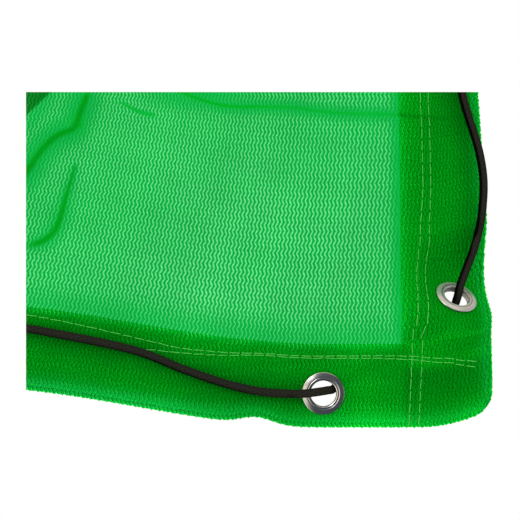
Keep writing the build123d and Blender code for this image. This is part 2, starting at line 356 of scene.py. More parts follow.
def graded(low, high, coarse, fine_zones):
    """Rising positions from low to high, closer together inside the fine zones."""
    values = [low]
    while values[-1] < high - 1e-6:
        step = coarse
        for a, b, fine in fine_zones:
            if a <= values[-1] < b:
                step = min(step, fine)
            elif values[-1] < a < values[-1] + step:
                step = a - values[-1]
        values.append(min(high, values[-1] + max(step, 0.05)))
    return np.array(values)


def skewed(texture):
    """The knit runs a little off the straight, most of all left of the viewed corner."""
    u, v = texture[..., 0], texture[..., 1]
    tangent = 0.09 + 0.15 * (1 - smooth(HALF_WIDTH - 300, HALF_WIDTH - 80, u))
    rise = np.clip(v - 50, -100, 200)
    return np.stack([u - tangent * rise, v], -1)


def mesh_object(name, verts, faces):
    """A smooth-shaded object with corners in millimetres."""
    mesh = bpy.data.meshes.new(name)
    mesh.from_pydata((verts * MM).tolist(), [], faces)
    mesh.polygons.foreach_set("use_smooth", [True] * len(mesh.polygons))
    piece = bpy.data.objects.new(name, mesh)
    bpy.context.scene.collection.objects.link(piece)
    return piece


def sheet_object(name, points, texture, keep=None, **values):
    """A grid of points, in millimetres, as a smooth mesh with cloth coordinates and
    any named values of the cloth that its material reads."""
    rows, columns = points.shape[:2]
    index = np.arange(rows * columns).reshape(rows, columns)
    quads = np.stack([index[:-1, :-1], index[1:, :-1], index[1:, 1:], index[:-1, 1:]], -1).reshape(-1, 4)
    if keep is not None:
        quads = quads[keep.reshape(-1)[quads].any(1)]
    used = np.unique(quads)
    renumber = np.zeros(rows * columns, int)
    renumber[used] = np.arange(len(used))
    piece = mesh_object(name, points.reshape(-1, 3)[used], renumber[quads].tolist())
    layer = piece.data.uv_layers.new(name="cloth")
    flat = texture.reshape(-1, 2) * MM
    layer.data.foreach_set("uv", flat[quads.reshape(-1)].astype(np.float32).ravel())
    for key, value in values.items():
        attribute = piece.data.attributes.new(key, "FLOAT", "POINT")
        attribute.data.foreach_set("value", value.reshape(-1)[used].astype(np.float32))
    return piece


def open_holes(u, v):
    """Slides points that fall inside an eyelet out to the edge of its hole, and says
    which points were outside it already."""
    keep = near_eyelet(u, v) >= HOLE_RADIUS - 0.01
    for x, z in EYELETS:
        du, dv = u - x, v - z
        r = np.hypot(du, dv)
        inside = r < HOLE_RADIUS
        grow = np.where(inside, HOLE_RADIUS / np.maximum(r, 1e-3), 1)
        u = np.where(inside, x + du * grow, u)
        v = np.where(inside, z + dv * grow, v)
    return u, v, keep


PANEL_STEP = 10
HEM_STEP = 5
PANEL_LIP = 2.4                # the mesh panel ends this far inside the hems' outer folds
QUICK_SCALE = 1.0
U_ZONES = [(430, HALF_WIDTH, 1.9 * QUICK_SCALE), (-HALF_WIDTH, -HALF_WIDTH + 60, 3)]
U_ZONES += [(HALF_WIDTH - 285, HALF_WIDTH - 230, 0.8)]
U_ZONES += [(s * x - 16, s * x + 16, 2.6) for s in (1, -1) for x in (INNER_X, OUTER_X)]
V_ZONES = [(0, 262, 1.9 * QUICK_SCALE), (HEIGHT - 60, HEIGHT, 3), (85, 205, 1.3)]
CREASE_VS = [v for _, v in PACKING_CREASE]
V_ZONES += [(min(CREASE_VS) - 3, max(CREASE_VS) + 1, 0.7)]
V_ZONES += [(z - 16, z + 16, 2.6) for z in SIDE_ZS]


def front_ply(u, v):
    """Depth of the front ply, which stands forward beside the folded edges."""
    side, end = from_edges(u, v)
    _, side_puff = puff(u, v, side)
    _, end_puff = puff(u, v, end)
    return FACE - np.maximum(side_puff, end_puff)


def shade(u, v):
    """Painted light and shade on the cloth, round 1: painted shadow beside the cord on the hems and
    on the tucked patch; painted light above the four-ply corners, under the leaning eyelet, beside
    the hems' inner edges, in a band across the long hems and along the rounded folds at its
    edges, with a painted glow right at the edge; and a faint random mottle."""
    x, z = shift(u, v)
    dx = x - HALF_WIDTH
    side, end = from_edges(u, v)
    cord = np.maximum(0.32 * line_shadow(dx - 1.0, z + 1.5, VIEWED_BOTTOM + [(-99, 21)], 9.0),
                      0.34 * line_shadow(dx + 3.0, z, VIEWED_SIDE, 9.0))
    in_hem = np.maximum(1 - smooth(44, 52, side), 1 - smooth(44, 52, end))
    light = 1 - cord * in_hem
    corner = (1 - smooth(45, 55, side)) * smooth(31, 38, end) * (1 - smooth(48, 52, end))
    light = light * (1 + 0.36 * corner)
    light = light * (1 + 0.34 * bell((dx + 14) / 22) * bell((z - 50) / 8) * (1 - corner))
    inner = bell((side - 50) / 8) * (side < SIDE_HEM) * smooth(50, 60, end)
    inner = inner + 0.35 * bell((end - 46) / 6) * (end < LONG_HEM) * smooth(50, 60, side)
    light = light * (1 + 0.16 * inner)
    light = light * (1 + 0.13 * bell((dx + 77) / 12) * (end < LONG_HEM))
    light = light * (1 - 0.56 * tucked(u, v))
    wide = 6.5 + 6 * (1 - smooth(60, 110, side))
    roll = 0.85 * np.maximum(bell(side / 6), bell(end / wide))
    light = light + roll * (1.38 + 0.42 * (1 - smooth(60, 110, side)) * bell(end / wide) - light)
    light = light + 1.1 * bell(np.minimum(side, end) / 0.7)
    mottle = np.sin(u / 7.3 + v / 11.0) * np.sin(v / 6.1 - u / 13.0) + np.sin(u / 17 - v / 23 + 1.0)
    return light * (1 + 0.03 * mottle)


def hemmed(u, v):
    """1 over the hems, 0 over the open mesh."""
    side, end = from_edges(u, v)
    return 1 - smooth(-1, 1, side - SIDE_HEM) * smooth(-1, 1, end - LONG_HEM)


def thin(u, v):
    """Where a hem's fold stands open and lets more light through; there the knit's colour is also painted
    lighter, as painted light.
    """
    side, end = from_edges(u, v)
    along = 0.5 + 0.5 * smooth(120, 200, side)
    return np.maximum(0.5 * bell(side / 6), along * bell(end / 7))


def cloth_values(u, v):
    """What the material of every piece of cloth reads."""
    return {"shade": shade(u, v), "hemmed": hemmed(u, v), "thin": thin(u, v)}


def line_shadow(du, v, points, width):
    d, _ = track(du, v, points)
    return bell(d / width)


def make_panel():
    us = graded(-HALF_WIDTH + PANEL_LIP, HALF_WIDTH - PANEL_LIP, PANEL_STEP, U_ZONES)
    vs = graded(PANEL_LIP, HEIGHT - PANEL_LIP, PANEL_STEP, V_ZONES)
    u, v, keep = open_holes(*np.meshgrid(us, vs, indexing="ij"))
    texture = np.stack([u, v], -1)
    u, v = round_corner(u, v, 11)
    points = np.stack(place(u, v, front_ply(u, v) + 0.12), -1)
    return sheet_object("cloth_panel", points, skewed(texture), keep, doubled=gathered(u, v),
                        thick=thick(u, v), **cloth_values(u, v))


def hem_profile(width, wrap=3.0):
    """Across a hem: distance from the edge, minus ahead of the fold, plus behind it."""
    ahead = [-wrap, -2.0, -1.2, -0.6, -0.2]
    behind = [0.0, 0.2, 0.6, 1.2, 2.0, 3.2, 5.0, 7.0]
    rest = list(np.arange(9.5, width, 2.4)) + [width]
    return np.array(ahead + behind + rest)


def serration(s, distance):
    """Knit loops standing out of the folded edge."""
    loops = 0.26 * np.sin(2 * math.pi * s / KNIT_PITCH) + 0.18 * np.sin(2 * math.pi * s / 4.4 + 1.0)
    return loops * bell(distance / 2.2)


def hem_object(name, u, v, depth, texture, keep, distance, width, axis, outward):
    """A hem's ply, with its loops pushed outward along an axis and its knit open over
    the last few millimetres before its raw edge."""
    u, v = round_corner(u, v, 10)
    points = np.stack(place(u, v, depth), -1)
    points[..., axis] += outward
    return sheet_object(name, points, skewed(texture), keep,
                        ravel=smooth(width - 4.5, width, distance), **cloth_values(u, v))


def make_side_hem(name, sign):
    """The side hem's ply, from just ahead of the fold to its raw edge behind.
    Past the ends of the sheet it goes on, folded up behind with the long hems."""
    across = hem_profile(SIDE_HEM)
    fine = [(-10, 262, 0.9 * QUICK_SCALE)] if sign > 0 else []
    fine += [(z - 16, z + 16, 2.6) for z in SIDE_ZS]
    along = graded(-LONG_HEM + 1, HEIGHT + LONG_HEM - 1, HEM_STEP, fine)
    t, s = np.meshgrid(across, along, indexing="ij")
    over = np.maximum(-s, s - HEIGHT)
    folded = smooth(-2.0, 2.0, over)
    v = np.where(s < HEIGHT / 2, np.abs(s), HEIGHT - np.abs(s - HEIGHT))
    v = np.clip(v, 1.2, HEIGHT - 1.2)
    u, v, keep = open_holes(sign * (HALF_WIDTH - np.abs(t)), v)
    distance = HALF_WIDTH - np.abs(u)
    round_edge, gap = puff(u, v, distance)
    half = PLY / 2
    middle = FACE + half
    depth = middle + np.where(t < 0, -1, 1) * (half + gap) * round_edge
    depth = depth + folded * PLY * np.where(t < 0, 0.6, 1)
    texture = np.stack([sign * (HALF_WIDTH + t), s], -1)
    return hem_object(name, u, v, depth, texture, keep, np.abs(t), SIDE_HEM,
                      0, sign * serration(s, distance))


def make_long_hem(name, top):
    """A long hem's ply. At the corners it lies behind the folded side hems."""
    across = hem_profile(LONG_HEM)
    fine = [(430, HALF_WIDTH, 0.9 * QUICK_SCALE)] if not top else []
    fine += [(s * x - 16, s * x + 16, 2.6) for s in (1, -1) for x in (INNER_X, OUTER_X)]
    along = graded(-HALF_WIDTH + 0.6, HALF_WIDTH - 0.6, HEM_STEP, fine)
    t, s = np.meshgrid(across, along, indexing="ij")
    u, v, keep = open_holes(s, HEIGHT - np.abs(t) if top else np.abs(t))
    side, distance = from_edges(u, v)
    round_edge, gap = puff(u, v, distance)
    in_corner = smooth(-2, 5, SIDE_HEM - side)
    half = PLY / 2 + in_corner * PLY
    middle = FACE + half
    depth = middle + np.where(t < 0, -1, 1) * (half + gap) * round_edge
    _, side_gap = puff(u, v, side)
    depth = depth + np.where(t < 0, -1, 1) * side_gap * 0.8 * round_edge
    texture = np.stack([s, HEIGHT + t if top else -t], -1)
    return hem_object(name, u, v, depth, texture, keep, np.abs(t), LONG_HEM,
                      2, serration(s, distance) * (1 if top else -1))


def tube(points, radius, sides):
    """The rings of a round tube through points, and how far round each of its lines is."""
    step = np.gradient(points, axis=0)
    tangent = step / np.linalg.norm(step, axis=1)[:, None]
    normals = np.zeros_like(points)
    guide = np.array([0.0, -1.0, 0.0])
    for i, t in enumerate(tangent):
        guide = guide - (guide @ t) * t
        guide = guide / np.linalg.norm(guide)
        normals[i] = guide
    binormal = np.cross(tangent, normals)
    angle = np.linspace(0, 2 * math.pi, sides + 1)
    ring = normals[:, None, :] * np.cos(angle)[None, :, None]
    ring = ring + binormal[:, None, :] * np.sin(angle)[None, :, None]
    return points[:, None, :] + ring * radius, angle / (2 * math.pi)


def flatten(x, z):
    """The flat-cloth place whose draped place is (x, z), in millimetres."""
    u, v = np.array(x, float), np.array(z, float)
    for _ in range(14):
        px, _, pz = place(u, v, FACE)
        u = u + 0.8 * (x - px)
        v = v + 0.8 * (z - pz)
    return u, v


def surface(x, z):
    """Depth of the front of the cloth at a place on the draped sheet."""
    u, v = flatten(x, z)
    return place(u, v, front_ply(u, v))[1]


# ---------------------------------------------------------------- stitching

STITCH_PITCH = 7.0
STITCH_LENGTH = 6.0
THREAD_RADIUS = 0.21
STITCH_STATIONS = np.array([-0.5, -0.42, -0.2, 0.2, 0.42, 0.5])
STITCH_RISE = np.array([-0.5, 0.25, 0.55, 0.55, 0.25, -0.5])
STITCH_SIDES = 6
FIRST_STITCH = 3.5             # from the start of a row to the middle of its first stitch
THREAD_REST = 0.1              # the thread lies this far behind the middle of its ply
SEAM_STEP = 2.0


def walk(us, vs, offset):
    """Middles and directions of stitches along a seam line."""
    gaps = np.hypot(np.diff(us), np.diff(vs))
    length = np.concatenate([[0], np.cumsum(gaps)])
    middles = np.arange(offset, length[-1] - STITCH_LENGTH / 2, STITCH_PITCH)
    mu, mv = np.interp(middles, length, us), np.interp(middles, length, vs)
    ahead = middles + 1.0
    du = np.interp(ahead, length, us) - mu
    dv = np.interp(ahead, length, vs) - mv
    size = np.hypot(du, dv)
    return mu, mv, du / size, dv / size


def stitches(name, rows, back_depth):
    """Single stitches along seam rows, on the face and, half a pitch on, behind."""
    angle = np.arange(STITCH_SIDES) * 2 * math.pi / STITCH_SIDES
    ru, rv, lift, behinds = [], [], [], []
    for us, vs in rows:
        for behind in (False, True):
            mu, mv, du, dv = walk(us, vs, FIRST_STITCH + (STITCH_PITCH / 2 if behind else 0))
            for a, b, p, q in zip(mu, mv, du, dv):
                turn = random.uniform(-0.07, 0.07)
                p, q = p - q * turn, q + p * turn
                long = STITCH_LENGTH * random.uniform(0.88, 1.06) * (0.9 if behind else 1)
                cu = a + STITCH_STATIONS * long * p
                cv = b + STITCH_STATIONS * long * q
                rise = STITCH_RISE * THREAD_RADIUS
                ru.append(cu[:, None] - q * THREAD_RADIUS * np.cos(angle)[None])
                rv.append(cv[:, None] + p * THREAD_RADIUS * np.cos(angle)[None])
                lift.append(rise[:, None] + THREAD_RADIUS * 0.85 * np.sin(angle)[None])
                behinds.append(behind)
    ru, rv, lift = np.array(ru), np.array(rv), np.array(lift)
    far_side = np.array(behinds)[:, None, None]
    face_depth = front_ply(ru, rv) + THREAD_REST
    depth = np.where(far_side, back_depth(ru, rv) + lift, face_depth - lift)
    verts = np.stack(place(ru, rv, depth), -1).reshape(-1, 3)
    stations = len(STITCH_STATIONS)
    faces = []
    for first in range(0, len(verts), stations * STITCH_SIDES):
        for i in range(stations - 1):
            for j in range(STITCH_SIDES):
                k = (j + 1) % STITCH_SIDES
                at = first + i * STITCH_SIDES
                up = at + STITCH_SIDES
                faces.append((at + j, at + k, up + k, up + j))
        last = first + (stations - 1) * STITCH_SIDES
        faces.append(tuple(range(first, first + STITCH_SIDES)))
        faces.append(tuple(reversed(range(last, last + STITCH_SIDES))))
    return mesh_object(name, verts, faces)


UPWARD = np.arange(1, HEIGHT - 2, SEAM_STEP)
ACROSS = np.arange(2 - HALF_WIDTH, HALF_WIDTH - 2, SEAM_STEP)


def side_seam(points, far):
    """A row of stitching: measured near the corner in view, at a steady distance beyond."""
    pts = np.array(points, float)
    u, v = flatten(HALF_WIDTH + pts[:, 0], pts[:, 1])
    order = np.argsort(v)
    inset = np.interp(UPWARD, v[order], (HALF_WIDTH - u)[order])
    inset = inset + (far - inset) * smooth(200, 260, UPWARD)
    return HALF_WIDTH - inset, UPWARD


def bottom_seam(points, far):
    """The same along the bottom."""
    pts = np.array(points, float)
    u, v = flatten(HALF_WIDTH + pts[:, 0], pts[:, 1])
    order = np.argsort(u)
    inset = np.interp(ACROSS, u[order], v[order])
    inset = far + (inset - far) * smooth(HALF_WIDTH - 333, HALF_WIDTH - 273, ACROSS)
    return ACROSS, inset


OUTER_SIDE_ROW = [(-43.4, 0), (-41, 42), (-41, 57), (-39, 60), (-36.8, 109), (-37, 118), (-36, 141),
                  (-36.6, 167), (-37.6, 195)]
INNER_SIDE_ROW = [(-49, 0), (-47, 42), (-46.4, 57), (-44.8, 60), (-42.3, 109), (-42, 118), (-40.6, 141),
                  (-41.2, 167), (-42.2, 195)]
UPPER_BOTTOM_ROW = [(-273, 66), (-183, 46.5), (-145, 43.6), (-128, 43), (-66, 42), (-43, 41.6),
                    (-25, 40.5), (-6, 39)]
LOWER_BOTTOM_ROW = [(-273, 60), (-235, 52), (-205, 46), (-183, 43.8), (-145, 42.4), (-128, 42),
                    (-66, 40.5), (-43, 39.5), (-25, 38), (-6, 35.4)]


# ---------------------------------------------------------------- leaning eyelet

def arc(a, b, c, count=8):
    """Points of the circular arc from a through b to c."""
    a, b, c = (np.array(p, float) for p in (a, b, c))
    m = np.array([b - a, c - a]) * 2
    centre = np.linalg.solve(m, [b @ b - a @ a, c @ c - a @ a])
    start, mid, end = (math.atan2(*(p - centre)[::-1]) for p in (a, b, c))
    span = (end - start) % (2 * math.pi)
    if (mid - start) % (2 * math.pi) > span:
        span -= 2 * math.pi
    angles = start + np.linspace(0, span, count)
    radius = np.linalg.norm(a - centre)
    return [(centre[0] + radius * math.cos(t), centre[1] + radius * math.sin(t)) for t in angles]


def leaning_ring(name, profile, count=96):
    """A ring turned from a closed profile of (radius, depth), leaning with the cloth."""
    profile = np.array(profile, float)
    angle = np.arange(count) * 2 * math.pi / count
    du = profile[None, :, 0] * np.cos(angle)[:, None]
    dv = profile[None, :, 0] * np.sin(angle)[:, None]
    depth = np.broadcast_to(profile[None, :, 1], du.shape)
    x, y, z = lean(SIDE_X + du, LOW_Z + dv, du, depth, dv, depth)
    verts = np.stack([x, y, z], -1).reshape(-1, 3)
    n = len(profile)
    faces = []
    for i in range(count):
        for j in range(n):
            k = (j + 1) % n
            at, to = i * n, (i + 1) % count * n
            faces.append((at + j, to + j, to + k, at + k))
    piece = mesh_object(name, verts, faces)
    piece.data.validate()
    return piece


GROOVE_RADIUS = 9.45
GROMMET_PROFILE = arc((12.5, -0.1), (12.25, -0.42), (11.8, -0.6), 8)[:-1]
GROMMET_PROFILE += arc((11.8, -0.6), (10.8, -0.95), (9.8, -1.2), 8)
GROMMET_PROFILE += arc((9.2, -1.02), (8.5, -1.15), (7.5, 0.1), 12)
GROMMET_PROFILE += arc((7.5, 2.65), (8.4, 3.25), (9.3, 2.65), 8)
GROMMET_PROFILE += [(8.1, 2.65), (8.1, -0.1)]
WASHER_PROFILE = [(12.5, 1.75), (12.5, 2.45), (8.3, 2.45), (8.3, 1.75)]


# ---------------------------------------------------------------- the cord

BEHIND = 6.8
DIVE_DEPTH = 5.4
DIVE = [(-14.5, -4.4), (-11, -3.9), (-5, -3.1), (0.2, -1.0), (3.4, 2.0), (DIVE_DEPTH, 5.0),
        (10.5, 7.2), (19, BEHIND)]
CORD_STEP = 2.0                # from one ring of the cord to the next
CORD_SIDES = 14

# The front spans in the cord's order, each from the eyelet it comes out of
SPANS = {
    "bottom_right": ((INNER_X, BOTTOM_Z), (OUTER_X, BOTTOM_Z)),
    "right_lower": ((SIDE_X, SIDE_ZS[0]), (SIDE_X, SIDE_ZS[1])),
    "right_upper": ((SIDE_X, SIDE_ZS[2]), (SIDE_X, SIDE_ZS[3])),
    "top_right": ((OUTER_X, TOP_Z), (INNER_X, TOP_Z)),
    "top_left": ((-INNER_X, TOP_Z), (-OUTER_X, TOP_Z)),
    "left_upper": ((-SIDE_X, SIDE_ZS[3]), (-SIDE_X, SIDE_ZS[2])),
    "left_lower": ((-SIDE_X, SIDE_ZS[1]), (-SIDE_X, SIDE_ZS[0])),
    "bottom_left": ((-OUTER_X, BOTTOM_Z), (-INNER_X, BOTTOM_Z)),
}


def dive(eyelet, into, away, rise=0.0):
    """Waypoints of the cord going in through a flat eyelet and away behind it. It
    crosses the hole in the way it came and turns only behind the far rim."""
    points = []
    for s, y in DIVE:
        ahead = min(s, DIVE_DEPTH)
        beyond = s - ahead
        up = rise * min(max((s + 12) / 16, 0), 1)
        points.append((eyelet[0] + into[0] * ahead + away[0] * beyond, y,
                       eyelet[1] + into[1] * ahead + away[1] * beyond + up))
    return points


def heading(a, b):
    """The direction from one eyelet to another, as (x, z)."""
    d = np.array([b[0] - a[0], b[1] - a[1]], float)
    return d / np.linalg.norm(d)


def lying(x, z):
    """A waypoint of the cord lying on the face of the cloth."""
    return (x, float(surface(x, z)) - CORD_RADIUS - 0.25, z)


def hump(a, b, places):
    """Waypoints between two eyelets, on the cloth, bowed inwards."""
    way = heading(a, b)
    length = math.hypot(b[0] - a[0], b[1] - a[1])
    points = []
    for share, offset in places:
        x = a[0] + way[0] * length * share - way[1] * offset
        z = a[1] + way[1] * length * share + way[0] * offset
        points.append(lying(x, z))
    return points


LONG_HUMP = [(0.09, 5), (0.2, 20), (0.33, 34), (0.5, 40), (0.67, 34), (0.8, 20), (0.91, 5)]
SIDE_HUMP = [(0.12, 4), (0.3, 12.5), (0.5, 17), (0.65, 17), (0.85, 7)]


# How the cord comes up through the leaning eyelet, from that eyelet's middle
LEANING_RISE = [(-12, 9.5, -22), (-3.6, 6.0, -9), (-0.6, 0.6, 0), (1.0, -1.0, 7.1), (3.4, -1.5, 14),
                (6, -1.9, 21), (8.7, -2.4, 28.2)]


def span_points(name, a, b):
    """Waypoints of a front span between its eyelets."""
    if name == "right_lower":
        return [lying(HALF_WIDTH + x, z) for x, z in VIEWED_SIDE]
    if name == "bottom_right":
        return hump(a, b, LONG_HUMP[:3]) + [lying(HALF_WIDTH + x, z) for x, z in VIEWED_BOTTOM]
    return hump(a, b, LONG_HUMP if a[1] == b[1] else SIDE_HUMP)


def cord_loop():
    """The whole closed cord: each front span's name and waypoints, and the waypoints
    that follow it in behind the cloth and out again."""
    runs = []
    names = list(SPANS)
    for name, following in zip(names, names[1:] + names[:1]):
        first, second = SPANS[name]
        third, fourth = SPANS[following]
        behind = heading(second, third)
        leaning = following == "right_lower"
        down = dive(second, heading(first, second), behind, 1.9 if leaning else 0.0)
        up = dive(third, -heading(third, fourth), -behind)[::-1]
        if leaning:
            up = [(SIDE_X + x, y, LOW_Z + z) for x, y, z in LEANING_RISE]
        runs.append((name, span_points(name, first, second), down, up))
    return runs


def curve_through(points, step):
    """Evenly spaced points on a smooth closed curve through waypoints, and the
    number of the spaced point nearest to each waypoint."""
    p = np.array(points, float)
    chord = np.sqrt(np.linalg.norm(np.roll(p, -1, 0) - p, axis=1))
    fine, marks = [], []
    n = len(p)
    for i in range(n):
        p0, p1, p2, p3 = p[i - 1], p[i], p[(i + 1) % n], p[(i + 2) % n]
        d0, d1, d2 = chord[i - 1], chord[i], chord[(i + 1) % n]
        m1 = d1 * ((p1 - p0) / d0 - (p2 - p0) / (d0 + d1) + (p2 - p1) / d1)
        m2 = d1 * ((p2 - p1) / d1 - (p3 - p1) / (d1 + d2) + (p3 - p2) / d2)
        count = max(2, int(np.linalg.norm(p2 - p1) / (step / 4)))
        t = np.linspace(0, 1, count, endpoint=False)[:, None]
        marks.append(len(fine))
        fine += list((2 * t ** 3 - 3 * t ** 2 + 1) * p1 + (t ** 3 - 2 * t ** 2 + t) * m1
                     + (-2 * t ** 3 + 3 * t ** 2) * p2 + (t ** 3 - t ** 2) * m2)
    fine = np.array(fine + [fine[0]])
    length = np.concatenate([[0], np.cumsum(np.linalg.norm(np.diff(fine, axis=0), axis=1))])
    count = int(length[-1] / step)
    even = np.linspace(0, length[-1], count, endpoint=False)
    spaced = np.stack([np.interp(even, length, fine[:, k]) for k in range(3)], -1)
    places = [int(round(length[m] / length[-1] * count)) % count for m in marks]
    return spaced, places


def cord_pieces(material):
    """The cord as one closed tube, cut into pieces that share their end rings."""
    points, marks = [], []
    for name, span, down, up in cord_loop():
        marks.append((name, len(points) + len(span) // 2))
        points += span
        marks.append(("", len(points) + len(down) - 2))
        points += down
        marks.append(("", len(points) + 1))
        points += up
    spaced, places = curve_through(points, CORD_STEP)
    grid, around = tube(np.concatenate([spaced, spaced[:1]]), CORD_RADIUS, CORD_SIDES)
    total = len(spaced)
    cuts = [(name, places[k]) for name, k in marks]
    pieces = {}
    unders = 0
    for (name, start), (next_name, end) in zip(cuts, cuts[1:] + cuts[:1]):
        index = np.arange(start, (end if end > start else end + total) + 1)
        texture = np.stack(np.broadcast_arrays(around * 1000, index[:, None] * CORD_STEP), -1)
        if name:
            label = f"cord_{name}_b"
        elif next_name:
            label = f"cord_{next_name}_a"
        else:
            unders += 1
            label = f"cord_under_{unders}"
        pieces[label] = sheet_object(label, grid[index % total], texture)
        dress(pieces[label], material)
    return pieces


# ---------------------------------------------------------------- materials

class Nodes:
    """A short way to write the node tree of a material or of the world."""

    def __init__(self, owner):
        owner.use_nodes = True
        self.owner = owner
        self.tree = owner.node_tree
        self.tree.nodes.clear()

    def add(self, kind, inputs=None, **settings):
        node = self.tree.nodes.new(kind)
        for key, value in settings.items():
            setattr(node, key, value)
        for key, value in (inputs or {}).items():
            self.set(node.inputs[key], value)
        return node

    def set(self, socket, value):
        if isinstance(value, bpy.types.NodeSocket):
            self.tree.links.new(value, socket)
        elif isinstance(value, bpy.types.Node):
            self.tree.links.new(value.outputs[0], socket)
        else:
            socket.default_value = value

    def math(self, operation, a, b=0.0, c=0.0):
        return self.add("ShaderNodeMath", {0: a, 1: b, 2: c}, operation=operation).outputs[0]

    def plus(self, a, b):
        return self.math("ADD", a, b)

    def minus(self, a, b):
        return self.math("SUBTRACT", a, b)

    def times(self, a, b):
        return self.math("MULTIPLY", a, b)

    def line(self, value, slope, base):
        """The value times a slope, plus a base."""
        return self.math("MULTIPLY_ADD", value, slope, base)

    def size(self, value):
        """The value without its sign."""
        return self.math("ABSOLUTE", value)

    def ramp(self, value, low, high, start=0.0, end=1.0):
        """An eased rise from start, at low, to end, at high."""
        inputs = {"Value": value, "From Min": low, "From Max": high, "To Min": start, "To Max": end}
        return self.add("ShaderNodeMapRange", inputs, interpolation_type="SMOOTHSTEP").outputs[0]

    def mix(self, share, a, b):
        node = self.add("ShaderNodeMix", data_type="RGBA")
        self.set(node.inputs[0], share)
        self.set(node.inputs[6], a)
        self.set(node.inputs[7], b)
        return node.outputs[2]

    def noise(self, scale, detail=2.0, vector=None):
        inputs = {"Scale": scale, "Detail": detail}
        if vector is not None:
            inputs["Vector"] = vector
        return self.add("ShaderNodeTexNoise", inputs).outputs[0]

    def attribute(self, name):
        return self.add("ShaderNodeAttribute", attribute_name=name).outputs["Fac"]

    def geometry(self, output):
        return self.add("ShaderNodeNewGeometry").outputs[output]

    def vector(self, operation, a, b=(0, 0, 0)):
        return self.add("ShaderNodeVectorMath", {0: a, 1: b}, operation=operation).outputs["Value"]

    def split(self, vector):
        return self.add("ShaderNodeSeparateXYZ", {"Vector": vector}).outputs

    def dimmed(self, colour, light):
        return self.add("ShaderNodeVectorMath", {0: colour, "Scale": light}, operation="SCALE")

    def bump(self, strength, distance, height):
        return self.add("ShaderNodeBump", {"Strength": strength, "Distance": distance, "Height": height})

    def surface(self, colour, roughness, bump, **more):
        inputs = {"Base Color": colour, "Roughness": roughness, "Normal": bump}
        inputs.update((key.replace("_", " "), value) for key, value in more.items())
        return self.add("ShaderNodeBsdfPrincipled", inputs)

    def blend(self, share, first, second):
        return self.add("ShaderNodeMixShader", {0: share, 1: first, 2: second})

    def output(self, surface, kind="ShaderNodeOutputMaterial"):
        self.set(self.add(kind).inputs["Surface"], surface)
        return self.owner


def material_nodes(name):
    return Nodes(bpy.data.materials.new(name))


